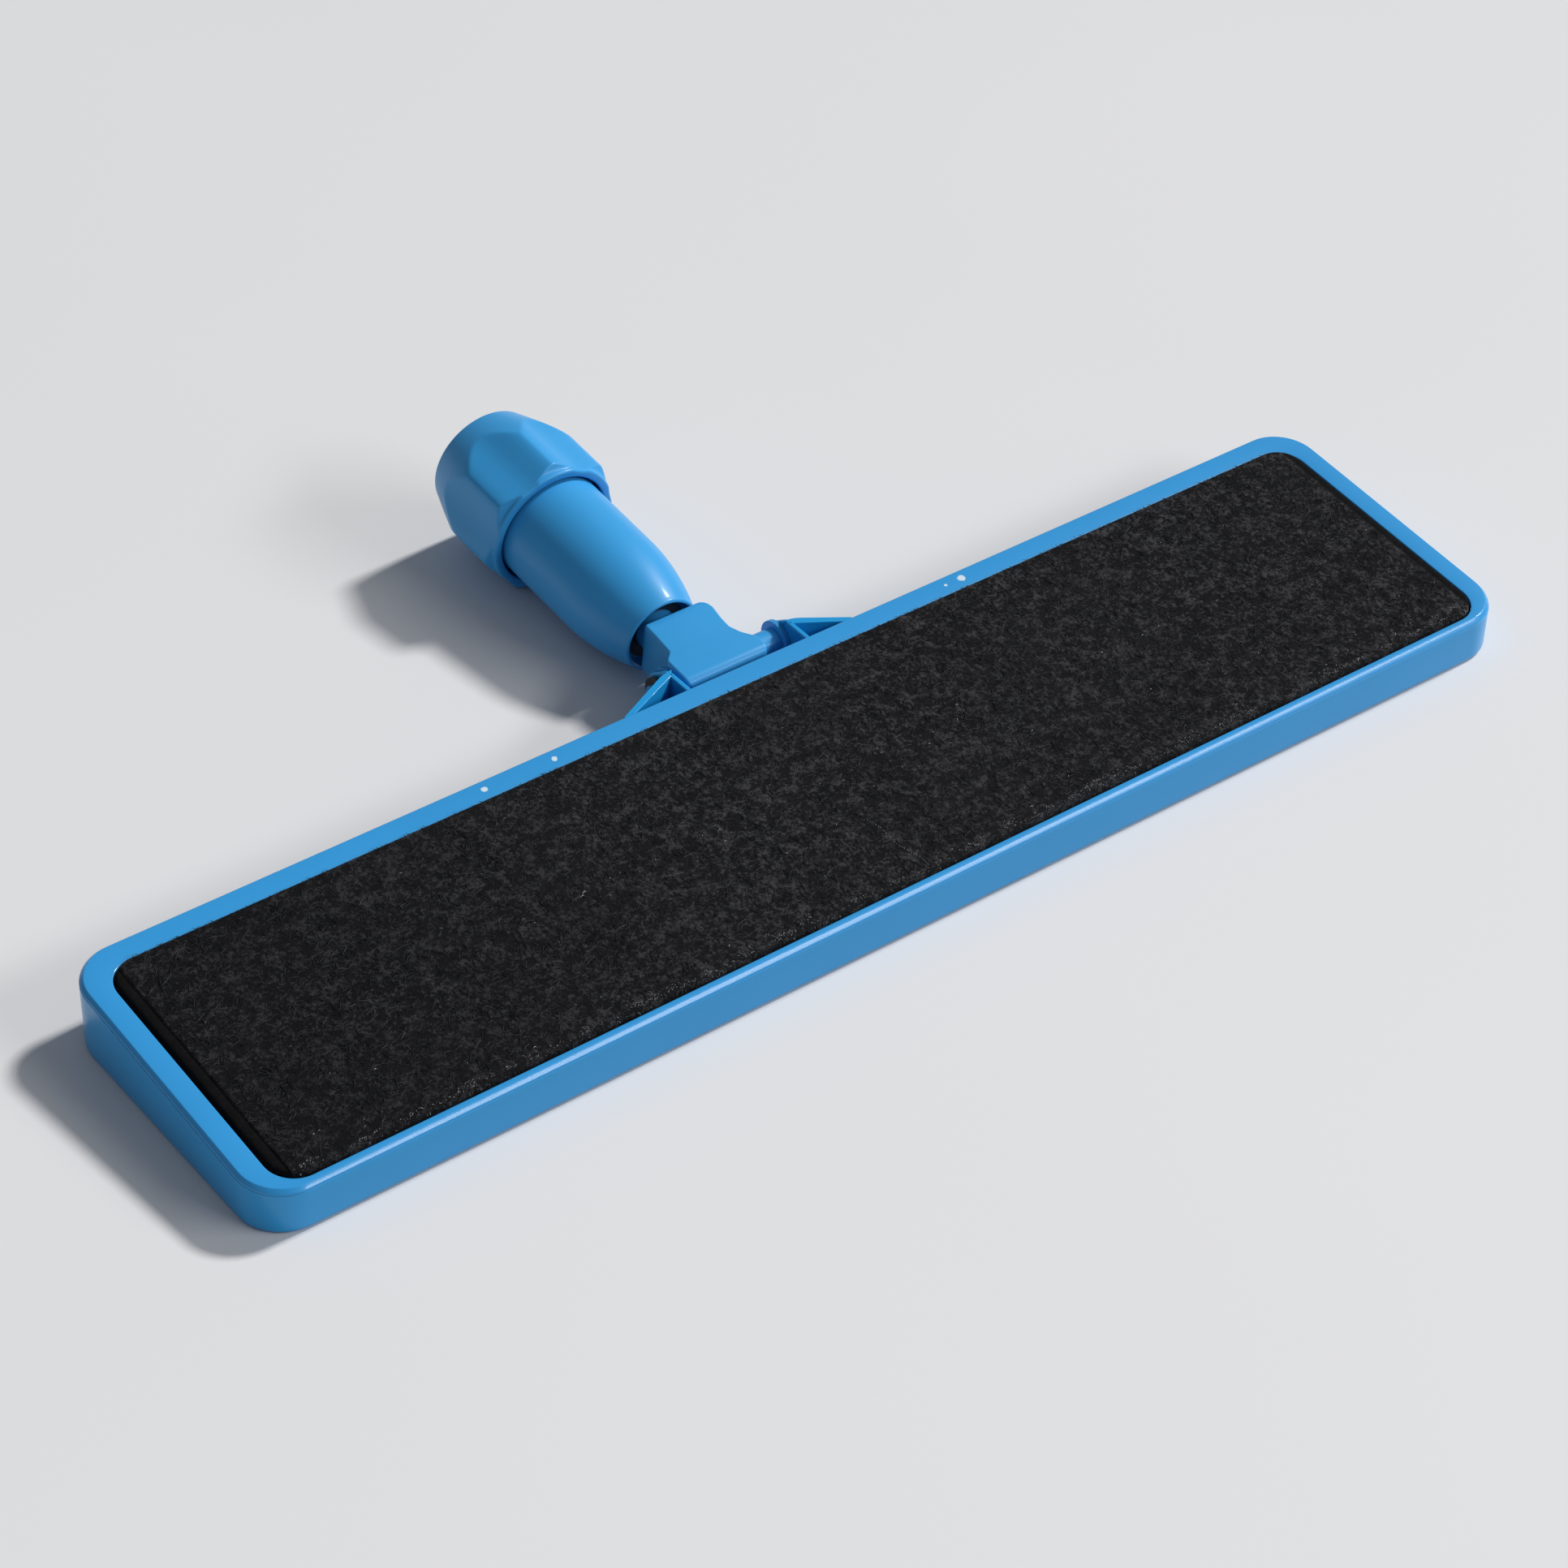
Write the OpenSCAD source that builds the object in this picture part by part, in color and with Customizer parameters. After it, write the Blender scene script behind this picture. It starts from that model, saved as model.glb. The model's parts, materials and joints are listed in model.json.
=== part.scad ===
// Pool wall brush: a wedge-shaped scrubbing head on a tilting, swivelling pole connector.
// X runs along the head, +Y points from the head to the pole, Z is up.
// The origin is on the floor under the middle of the scrubbing pad.

/* [Head] */
// Length of the head along X
head_l = 457; // [380:1:550]
// Width of the scrubbing pad across the head
pad_w = 93.4; // [75:0.1:120]
// Height of the pad face above the floor at the middle of the pad
face_h = 20; // [18:0.1:26]
// Slope of the pad face, rising to the pole side
face_tilt = 5; // [0:0.1:7]
// Width of the bezel along the front edge
band_front = 3.5; // [3:0.1:8]
// Width of the bezel along the pole edge
band_rear = 9; // [8:0.1:14]
// Width of the bezel at the two ends
band_end = 8.6; // [6:0.1:14]
// Corner radius of the pad
pad_r = 9; // [5:0.5:14]
// Corner radius of the head
head_r = 14.5; // [10:0.5:20]
// Thickness of the separate bezel frame
bezel_t = 1.6; // [1.2:0.1:2.4]
// Thickness of the head's outer walls
wall_t = 2.4; // [2:0.1:3]
// Thickness of the deck under the pad
deck_t = 2; // [1.6:0.1:3]
// Thickness of the back cover
cover_t = 2.2; // [1.6:0.1:2.8]

/* [Pad] */
// Thickness of the foam cushion on the deck
foam_t = 2.5; // [1.5:0.1:3]
// Thickness of the hook sheet on the foam
hook_t = 0.8; // [0.6:0.1:1.2]
// Depth of the felt pad that lies below the bezel's top
pad_sunk = 4.7; // [3:0.1:5]
// Height of the felt pad above the bezel's top
pad_proud = 1.5; // [0.5:0.1:3]

/* [Tilt hinge] */
// Distance from the head's pole-side wall to the hinge pin
pin_offset = 13; // [11:0.1:16]
// Height of the hinge pin above the floor
pin_z = 15; // [12:0.1:17]
// Radius of the hinge pin
pin_r = 3; // [2.5:0.1:4]
// Distance between the two hinge cheeks
clevis_gap = 43; // [41:0.1:54]
// Place of the middle of the hinge cheeks along X
clevis_x = 9.5; // [-12:0.5:12]
// Thickness of each hinge cheek
cheek_t = 2.6; // [2:0.1:4]
// Radius of a cheek's round end
cheek_r = 6.6; // [6.2:0.1:9]
// Height of the cheeks' and gussets' top above the floor
ear_top = 24; // [22:0.1:25]
// Length of the left ear's gusset along the rear wall
gusset_left = 22; // [12:0.5:30]
// Length of the right ear's gusset along the rear wall
gusset_right = 15.5; // [10:0.5:30]
// Thickness of the friction washers at the knuckle's ends
washer_t = 1.5; // [1:0.1:2]
// Length of the spacer sleeve beside the knuckle
spacer_l = 9; // [3:0.1:12]

/* [Swivel block] */
// Radius of the knuckle
knuckle_r = 9.4; // [7.8:0.1:11.4]
// Width of the block's body along the pin
block_w = 23.4; // [19.5:0.1:28.1]
// Height of the block's body
block_h = 18; // [15.5:0.1:21.6]
// Distance of the body's middle from the pole axis
block_shift = 2.2; // [0:0.1:3]
// Distance from the hinge pin to the block's flat end
block_l = 19.7; // [17:0.1:26]
// Distance from the knuckle's left end to the pole axis
knuckle_left = 11.9; // [11.9:0.1:16]
// Rise of the pole axis at rest
rise = 5.6; // [0:0.1:12]
// Radius of the shank that the barrel turns on
shank_r = 7; // [5.8:0.1:8.4]

/* [Pole socket] */
// Outer radius of the barrel at its lower mouth
mouth_r = 14.3; // [13.5:0.1:15]
// Outer radius of the barrel's straight part
barrel_r = 18.6; // [18:0.1:20]
// Radius of the pole bore, for a 31.75 mm pole
bore_r = 16; // [15.9:0.05:16.2]
// Depth of the pole bore from the barrel's end
bore_l = 54; // [45:0.5:70]
// Length of the barrel's threaded stretch
thread_l = 15; // [12:0.5:20]

/* [Collar] */
// Corner radius of the collar's grip
grip_r = 25.2; // [24.8:0.1:30]
// Number of flats on the collar's grip
grip_sides = 7; // [6, 7, 8, 9]
// Length of the collar's grip
grip_l = 25; // [20:0.5:34]
// Length of the collar's nose beyond the grip
nose_l = 15; // [13:0.5:30]
// Radius of the nose's open end
nose_r = 18.6; // [18:0.1:20]
// Free travel before the seal is squeezed
free_travel = 2.4; // [1:0.1:3]

/* [Hidden] */
$fn = 96;

// Radial clearance of a pin or shaft that turns
run_gap = 0.06;
// Gap between faces that pass or face each other
face_gap = 0.3;
// Gap between the pad and the bezel all round
pad_gap = 0.5;
// Gap between the soft layers
layer_gap = 0.1;
// Gap round the back cover
cover_gap = 0.2;
// Gap between faces that bear on each other along the pin
side_gap = 0.05;
// Room between the pole and the rings that close on it
pole_gap = 0.1;
// Overlap of a cut past the face it opens
cut = 1;

// Head outline
pad_l = head_l - 2 * band_end;
front_y = -pad_w / 2 - band_front;
rear_y = pad_w / 2 + band_rear;
recess_d = foam_t + hook_t + pad_sunk;
big = 2 * head_l;

// Hinge
pin_y = rear_y + pin_offset;
cheek_left = clevis_x - clevis_gap / 2;
cheek_right = clevis_x + clevis_gap / 2;
knuckle_x0 = cheek_left + washer_t + 2 * side_gap;
knuckle_x1 = cheek_right - washer_t - spacer_l - 4 * side_gap;
pole_x = knuckle_x0 + knuckle_left;
cheek_low = 3;
ear_tip = 2.5;
gusset_t = 2.4;
bush_t = 1.2;
bush_flange = 0.8;
bush_l = 10;
bush_brim = 1.8;
clip_t = 1.2;
clip_r = 5.2;
pin_tail = 1.3;
pin_head_t = 2;
pin_head_r = 5;
pin_head_room = 1.2;
pin_head_pocket = 8;
washer_step = 2.6;
spacer_wall = 1.6;
knuckle_room = 0.4;

// Screws of the back cover
screw_r = 1.5;
screw_head_r = 2.9;
screw_head_t = 1.4;
boss_r = 3.6;
screw_cols = 4;
screw_inset_x = 26;
screw_inset_y = 13;
screw_room = 0.2;
screw_top = 5;
screw_hole_l = face_h - recess_d - screw_top;
screw_short = 2;
cross_l = 3.6;
cross_w = 0.7;
cross_d = 1;
rib_t = 1.6;
rib_count = 9;

// Pegs that hold the bezel, as shares of the head's length and the pad's width
peg_r = 1;
peg_l = 4;
peg_gap = 0.05;
peg_end_gap = 0.4;
peg_reach = 0.42;
peg_step = 0.14;
peg_side = 0.3;
peg_shift = 0.5;

// Stations along the pole axis, measured from the hinge pin
mouth_gap = 0.8;
mouth_s = block_l + mouth_gap;
web_depth = 5;
web_l = 6;
web_s0 = mouth_s + web_depth;
web_s1 = web_s0 + web_l;
bush_wall = 1.5;
brim_w = 2;
brim_t = 1.2;
shank_play = 0.4;
shank_end = web_s1 + shank_play;
core_r = 2;
core_l = 12;
core_gap = 0.1;
keeper_head_r = 4.5;
keeper_head_t = 3;
hex_r = 2.2;
hex_d = 2;
keeper_t = 1.5;
keeper_r = 10.5;
cavity_r = 12;
keeper_room = 9.5;
bore_s0 = web_s1 + keeper_room;
barrel_end = bore_s0 + bore_l;
taper_l = 28;
full_s = mouth_s + taper_l;
mouth_lip = 0.6;
thread_h = 1.4;
thread_edge = 1;
thread_r = barrel_r + thread_h;
thread_s0 = barrel_end - thread_l;
seal_minor = 1.4;
seal_gap = 0.2;
seal_r = bore_r + seal_gap + seal_minor;
thrust_s0 = barrel_end + 2 * seal_minor + free_travel;
thrust_l = 3;
clinch_s0 = thrust_s0 + thrust_l;
clinch_l = 10;
clinch_taper = 2;
clinch_slot = 2.5;
nut_cover = 1;
nut_s0 = thread_s0 - nut_cover;
nut_s1 = nut_s0 + grip_l;
nut_s2 = nut_s1 + nose_l;
thread_gap = 0.1;
nut_in_r = thread_r + thread_gap;
nose_gap = 0.4;
nut_bore_r = bore_r + nose_gap;
nut_lip = 2;
nut_lip_gap = 0.8;
nose_sink = 3;
nose_blunt = 0.98;
// Distance from the pole axis to the middle of a grip flat
flat_r = grip_r * cos(180 / grip_sides);

module rounded_rect(l, y0, y1, r) {
    translate([-l / 2 + r, y0]) square([l - 2 * r, y1 - y0]);
    translate([-l / 2, y0 + r]) square([l, y1 - y0 - 2 * r]);
    for (x = [-l / 2 + r, l / 2 - r])
        for (y = [y0 + r, y1 - r])
            translate([x, y]) circle(r);
}

// Head outline drawn in by a wall
module head_outline(inset) {
    rounded_rect(head_l - 2 * inset, front_y + inset, rear_y - inset, head_r - inset);
}

// Pad outline let out by a gap
module pad_outline(gap) {
    rounded_rect(pad_l + 2 * gap, -pad_w / 2 - gap, pad_w / 2 + gap, pad_r + gap);
}

// Everything above the sloping face lowered by a drop
module above_face(drop) {
    translate([0, 0, face_h]) rotate([face_tilt, 0, 0]) translate([-big / 2, -big / 2, -drop])
        cube([big, big, big]);
}

// A layer parallel to the face, between two depths below it
module face_layer(deep, shallow, gap) {
    translate([0, 0, face_h]) rotate([face_tilt, 0, 0]) translate([0, 0, -deep])
        linear_extrude(deep - shallow) pad_outline(gap);
}

// Moves children to the pole axis, with Z along the axis
module on_pole() {
    translate([pole_x, pin_y, pin_z]) rotate([rise, 0, 0]) rotate([-90, 0, 0]) children();
}

// A ring along the pole axis between two stations
module ring(r_out, r_in, s0, s1) {
    difference() {
        translate([0, 0, s0]) cylinder(r = r_out, h = s1 - s0);
        translate([0, 0, s0 - 1]) cylinder(r = r_in, h = s1 - s0 + 2);
    }
}

// A cylinder along X on the hinge's axis
module on_pin(r, x0, x1) {
    translate([x0, pin_y, pin_z]) rotate([0, 90, 0]) cylinder(r = r, h = x1 - x0);
}

function cover_screw_places() = [for (i = [0:screw_cols - 1]) for (y = [front_y + screw_inset_y,
    rear_y - screw_inset_y]) [-head_l / 2 + screw_inset_x
    + i * (head_l - 2 * screw_inset_x) / (screw_cols - 1), y]];

module peg_places() {
    for (x = [-peg_reach:peg_step:peg_reach])
        translate([x * head_l, rear_y - band_rear / 2 + peg_shift]) children();
    for (x = [-1, 1])
        for (y = [-peg_side, 0, peg_side])
            translate([x * (head_l - band_end) / 2, y * pad_w]) children();
}

// One hinge ear: a cheek with its gusset, for the side where its outside points along dir
module ear(x_in, dir, gusset_l) {
    x_out = x_in + dir * cheek_t;
    x_foot = x_out + dir * gusset_l;
    root_y = rear_y - cut;
    tip_y = pin_y - ear_tip;
    difference() {
        union() {
            on_pin(cheek_r, min(x_in, x_out), max(x_in, x_out));
            translate([min(x_in, x_out), 0, 0]) rotate([90, 0, 90]) linear_extrude(cheek_t)
                polygon([[root_y, cheek_low], [pin_y, pin_z - cheek_r],
                    [pin_y + cheek_r * cos(30), pin_z + cheek_r * sin(30)], [tip_y, ear_top],
                    [root_y, ear_top]]);
            translate([0, 0, cheek_low]) linear_extrude(ear_top - cheek_low)
                polygon([[x_out - dir, tip_y], [x_out, tip_y], [x_foot, rear_y],
                    [x_foot, root_y], [x_foot - dir * gusset_t, root_y],
                    [x_out - dir, tip_y - gusset_t]]);
        }
        on_pin(pin_r + run_gap, min(x_in, x_foot) - cut, max(x_in, x_foot) + cut);
        // room for the pin's head and clip inside the gusset
        on_pin(pin_head_r + pin_head_room, min(x_out, x_out + dir * pin_head_pocket),
            max(x_out, x_out + dir * pin_head_pocket));
    }
}

module head_body() {
    color([0.24, 0.59, 0.83]) {
        difference() {
            linear_extrude(3 * face_h) head_outline(0);
            above_face(bezel_t);
            face_layer(recess_d, -face_h, pad_gap);
            difference() {
                translate([0, 0, -cut]) linear_extrude(3 * face_h) head_outline(wall_t);
                above_face(recess_d + deck_t);
                for (p = cover_screw_places())
                    translate([p[0], p[1], cover_t]) cylinder(r = boss_r, h = 3 * face_h);
                for (i = [0:rib_count - 1])
                    translate([(i - (rib_count - 1) / 2) * head_l / (rib_count + 1) - rib_t / 2,
                        front_y, cover_t]) cube([rib_t, rear_y - front_y, 3 * face_h]);
            }
            translate([0, 0, -cut]) linear_extrude(cover_t + cut) head_outline(wall_t / 2);
            for (p = cover_screw_places())
                translate([p[0], p[1], -cut]) cylinder(r = screw_r, h = screw_hole_l + cut);
            translate([0, 0, face_h]) rotate([face_tilt, 0, 0])
                translate([0, 0, -bezel_t - peg_l - peg_end_gap])
                    linear_extrude(peg_l + peg_end_gap + cut) peg_places() circle(peg_r + peg_gap);
        }
        difference() {
            union() {
                ear(cheek_left, -1, gusset_left);
                ear(cheek_right, 1, gusset_right);
            }
            intersection() {
                linear_extrude(3 * face_h) head_outline(0);
                above_face(bezel_t);
            }
        }
    }
}

module bezel_frame() {
    color([0.27, 0.6, 0.84]) {
        difference() {
            linear_extrude(3 * face_h) head_outline(0);
            above_face(0);
            face_layer(face_h, -face_h, pad_gap);
            translate([0, 0, face_h]) rotate([face_tilt, 0, 0])
                translate([-big / 2, -big / 2, -big - bezel_t]) cube([big, big, big]);
        }
        translate([0, 0, face_h]) rotate([face_tilt, 0, 0])
            translate([0, 0, -bezel_t - peg_l])
                linear_extrude(peg_l + bezel_t / 2) peg_places() circle(peg_r);
    }
}

module foam_cushion() {
    color([0.2, 0.2, 0.22]) face_layer(recess_d, hook_t + pad_sunk, -layer_gap);
}

module hook_sheet() {
    color([0.12, 0.12, 0.13]) face_layer(hook_t + pad_sunk, pad_sunk, -layer_gap);
}

module scrub_pad() {
    color([0.12, 0.12, 0.13]) face_layer(pad_sunk - layer_gap, -pad_proud, 0);
}

module back_cover() {
    color([0.2, 0.5, 0.74]) difference() {
        linear_extrude(cover_t) head_outline(wall_t / 2 + cover_gap);
        for (p = cover_screw_places()) {
            translate([p[0], p[1], -cut]) cylinder(r = screw_r + screw_room, h = cover_t + 2 * cut);
            translate([p[0], p[1], -cut])
                cylinder(r = screw_head_r + screw_room, h = screw_head_t + screw_room + cut);
        }
    }
}

module cover_screws() {
    color("silver") for (p = cover_screw_places()) translate([p[0], p[1], 0]) {
        difference() {
            translate([0, 0, screw_room]) cylinder(r = screw_head_r, h = screw_head_t);
            for (a = [0, 90])
                rotate([0, 0, a]) translate([-cross_l / 2, -cross_w / 2, -cut])
                    cube([cross_l, cross_w, cross_d + cut]);
        }
        translate([0, 0, screw_head_t])
            cylinder(r = screw_r - pole_gap, h = screw_hole_l - screw_short);
    }
}

module hinge_pin() {
    color("silver") {
        on_pin(pin_r, cheek_left - cheek_t - clip_t - pin_tail, cheek_right + cheek_t + cut);
        on_pin(pin_head_r, cheek_right + cheek_t + side_gap, cheek_right + cheek_t + pin_head_t);
    }
}

module pin_clip() {
    color("silver") difference() {
        on_pin(clip_r, cheek_left - cheek_t - clip_t - side_gap, cheek_left - cheek_t - side_gap);
        on_pin(pin_r, cheek_left - cheek_t - clip_t - cut, cheek_left);
    }
}

module friction_washers() {
    color([0.2, 0.51, 0.74]) for (x = [cheek_left + side_gap, cheek_right - washer_t - side_gap])
        difference() {
            on_pin(knuckle_r - washer_step, x, x + washer_t);
            on_pin(pin_r + run_gap, x - cut, x + washer_t + cut);
        }
}

module spacer_sleeve() {
    x1 = cheek_right - washer_t - 2 * side_gap;
    color([0.2, 0.51, 0.74]) difference() {
        on_pin(pin_r + spacer_wall, x1 - spacer_l, x1);
        on_pin(pin_r + run_gap, x1 - spacer_l - cut, x1 + cut);
    }
}

module knuckle_bushes() {
    color([0.9, 0.9, 0.87]) for (side = [0, 1]) {
        x0 = side == 0 ? knuckle_x0 : knuckle_x1 - bush_l;
        xf = side == 0 ? knuckle_x0 : knuckle_x1 - bush_flange;
        difference() {
            union() {
                on_pin(pin_r + bush_t, x0, x0 + bush_l);
                on_pin(pin_r + bush_t + bush_brim, xf, xf + bush_flange);
            }
            on_pin(pin_r + run_gap, x0 - cut, x0 + bush_l + cut);
        }
    }
}

module swivel_block() {
    color([0.3, 0.62, 0.82]) difference() {
        union() {
            on_pin(knuckle_r, knuckle_x0, knuckle_x1);
            intersection() {
                on_pole() translate([block_shift - block_w / 2, -block_h / 2, 0])
                    cube([block_w, block_h, block_l]);
                union() {
                    on_pin(knuckle_r + knuckle_room, knuckle_x0, knuckle_x1);
                    on_pole() translate([-block_w, -block_w, knuckle_r / 2])
                        cube([2 * block_w, 2 * block_w, block_l]);
                }
            }
            on_pole() translate([0, 0, block_l - cut])
                cylinder(r = shank_r, h = shank_end - block_l + cut);
        }
        on_pin(pin_r + knuckle_room, knuckle_x0 - cut, knuckle_x1 + cut);
        for (x = [knuckle_x0 - cut, knuckle_x1 - bush_l])
            on_pin(pin_r + bush_t, x, x + bush_l + cut);
        for (x = [knuckle_x0 - cut, knuckle_x1 - bush_flange])
            on_pin(pin_r + bush_t + bush_brim, x, x + bush_flange + cut);
        on_pole() translate([0, 0, shank_end - core_l]) cylinder(r = core_r, h = core_l + cut);
    }
}

module swivel_bush() {
    color([0.9, 0.9, 0.87]) on_pole() {
        ring(shank_r + bush_wall, shank_r + run_gap, web_s0 - brim_t, web_s1);
        ring(shank_r + bush_wall + brim_w, shank_r + run_gap, web_s0 - brim_t, web_s0);
    }
}

module swivel_washer() {
    color("silver") on_pole()
        ring(keeper_r, core_r + core_gap, shank_end, shank_end + keeper_t);
}

module swivel_screw() {
    color("silver") on_pole() difference() {
        union() {
            translate([0, 0, shank_end - core_l + cut]) cylinder(r = core_r, h = core_l + keeper_t);
            translate([0, 0, shank_end + keeper_t]) cylinder(r = keeper_head_r, h = keeper_head_t);
        }
        translate([0, 0, shank_end + keeper_t + keeper_head_t - hex_d])
            cylinder(r = hex_r, h = hex_d + cut, $fn = 6);
    }
}

module socket_barrel() {
    color([0.2, 0.51, 0.74]) on_pole() difference() {
        rotate_extrude() polygon(concat(
            [[0, mouth_s], [mouth_r - mouth_lip, mouth_s]],
            [for (t = [0:0.05:1]) [mouth_r + (barrel_r - mouth_r) * (1 - pow(1 - t, 2)),
                mouth_s + mouth_lip + t * (taper_l - mouth_lip)]],
            [[barrel_r, thread_s0], [thread_r, thread_s0 + thread_edge],
                [thread_r, barrel_end - thread_edge], [thread_r - thread_edge, barrel_end],
                [0, barrel_end]]));
        translate([0, 0, mouth_s - cut]) cylinder(r = cavity_r, h = web_depth + cut);
        translate([0, 0, web_s0 - cut]) cylinder(r = shank_r + bush_wall, h = web_l + 2 * cut);
        translate([0, 0, web_s1]) cylinder(r = cavity_r, h = keeper_room + cut);
        translate([0, 0, bore_s0]) cylinder(r = bore_r, h = bore_l + cut);
    }
}

module sealing_ring() {
    color([0.1, 0.1, 0.1]) on_pole() translate([0, 0, barrel_end + seal_minor])
        rotate_extrude() translate([seal_r, 0]) circle(r = seal_minor, $fn = 24);
}

module thrust_bush() {
    color([0.9, 0.9, 0.87]) on_pole()
        ring(nut_in_r - face_gap, bore_r + pole_gap, thrust_s0, clinch_s0);
}

module clinch_ring() {
    r0 = nut_in_r - face_gap;
    color([0.92, 0.92, 0.9]) on_pole() difference() {
        translate([0, 0, clinch_s0]) cylinder(r1 = r0, r2 = r0 - clinch_taper, h = clinch_l);
        translate([0, 0, clinch_s0 - cut]) cylinder(r = bore_r + pole_gap, h = clinch_l + 2 * cut);
        translate([0, -clinch_slot / 2, clinch_s0 - cut])
            cube([2 * r0, clinch_slot, clinch_l + 2 * cut]);
    }
}

module collar_nut() {
    color([0.22, 0.55, 0.79]) on_pole() difference() {
        union() {
            // one flat of the grip faces the floor
            rotate([0, 0, 90 + 180 / grip_sides]) translate([0, 0, nut_s0])
                cylinder(r = grip_r, h = grip_l, $fn = grip_sides);
            // the nose is a quarter of an ellipse that draws in from the flats
            rotate_extrude() polygon(concat([[0, nut_s1 - nose_sink], [flat_r, nut_s1 - nose_sink]],
                [for (t = [0:0.1:1]) [nose_r + (flat_r - nose_r) * sqrt(1 - nose_blunt * t * t),
                    nut_s1 + t * nose_l]],
                [[0, nut_s2]]));
        }
        translate([0, 0, nut_s0 - cut]) cylinder(r = nut_in_r + nut_lip_gap, h = nut_lip + cut);
        translate([0, 0, nut_s0]) cylinder(r = nut_in_r, h = clinch_s0 - nut_s0);
        translate([0, 0, clinch_s0]) cylinder(r1 = nut_in_r, r2 = nut_in_r - clinch_taper,
            h = clinch_l);
        translate([0, 0, clinch_s0 + clinch_l - pole_gap])
            cylinder(r = nut_in_r - clinch_taper, h = face_gap);
        translate([0, 0, nut_s0]) cylinder(r = nut_bore_r, h = nut_s2 - nut_s0 + cut);
    }
}

head_body();
bezel_frame();
foam_cushion();
hook_sheet();
scrub_pad();
back_cover();
cover_screws();
hinge_pin();
pin_clip();
friction_washers();
spacer_sleeve();
swivel_block();
knuckle_bushes();
swivel_bush();
swivel_washer();
swivel_screw();
socket_barrel();
sealing_ring();
thrust_bush();
clinch_ring();
collar_nut();
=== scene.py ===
import json
import math

import bpy
import numpy as np
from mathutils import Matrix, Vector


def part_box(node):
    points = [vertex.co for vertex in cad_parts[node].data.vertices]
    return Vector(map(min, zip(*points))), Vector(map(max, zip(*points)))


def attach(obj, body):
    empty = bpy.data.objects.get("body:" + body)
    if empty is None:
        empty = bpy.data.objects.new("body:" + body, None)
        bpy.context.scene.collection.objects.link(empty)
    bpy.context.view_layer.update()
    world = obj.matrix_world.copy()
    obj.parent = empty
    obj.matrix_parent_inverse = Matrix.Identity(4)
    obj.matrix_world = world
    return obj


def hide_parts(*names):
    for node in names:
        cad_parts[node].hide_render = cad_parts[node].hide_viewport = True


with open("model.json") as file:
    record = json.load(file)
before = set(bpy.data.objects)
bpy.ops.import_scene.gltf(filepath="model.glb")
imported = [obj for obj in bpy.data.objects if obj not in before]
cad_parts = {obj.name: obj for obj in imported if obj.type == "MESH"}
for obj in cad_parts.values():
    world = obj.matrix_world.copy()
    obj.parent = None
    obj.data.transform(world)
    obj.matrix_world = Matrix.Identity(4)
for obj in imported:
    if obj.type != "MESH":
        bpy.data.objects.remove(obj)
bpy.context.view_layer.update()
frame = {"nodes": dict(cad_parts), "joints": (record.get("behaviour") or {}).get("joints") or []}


# ---------------------------------------------------------------- Camera
# A long lens looks down on the pad from the front left, with a slight roll.
# Place in metres and turn in degrees, both in the part's own frame.
camera_data = bpy.data.cameras.new("camera")
camera_data.lens = 99.13
camera_data.sensor_width = 36.0
camera = bpy.data.objects.new("camera", camera_data)
camera.location = (-0.62124, -0.76648, 0.82578)
camera.rotation_euler = [math.radians(a) for a in (50.656, -1.3568, -37.0459)]
bpy.context.scene.collection.objects.link(camera)
bpy.context.scene.camera = camera


# ---------------------------------------------------------------- Studio
# A plain pale floor, a soft key light from the right, a long soft strip at the front right,
# and a dim sky. The tone curve is the plain one, so that plastics keep their own colour.
class Wire:
    """One output of a shader tree. Arithmetic on wires and numbers adds Math nodes."""

    def __init__(self, tree, socket):
        self.tree = tree
        self.socket = socket

    def _math(self, operation, *values):
        node = self.tree.nodes.new("ShaderNodeMath")
        node.operation = operation
        for slot, value in zip(node.inputs, values):
            if isinstance(value, Wire):
                self.tree.links.new(value.socket, slot)
            else:
                slot.default_value = value
        return Wire(self.tree, node.outputs[0])

    def __add__(self, other):
        return self._math("ADD", self, other)

    def __radd__(self, other):
        return self._math("ADD", other, self)

    def __sub__(self, other):
        return self._math("SUBTRACT", self, other)

    def __rsub__(self, other):
        return self._math("SUBTRACT", other, self)

    def __mul__(self, other):
        return self._math("MULTIPLY", self, other)

    def __rmul__(self, other):
        return self._math("MULTIPLY", other, self)

    def __abs__(self):
        return self._math("ABSOLUTE", self)


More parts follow.
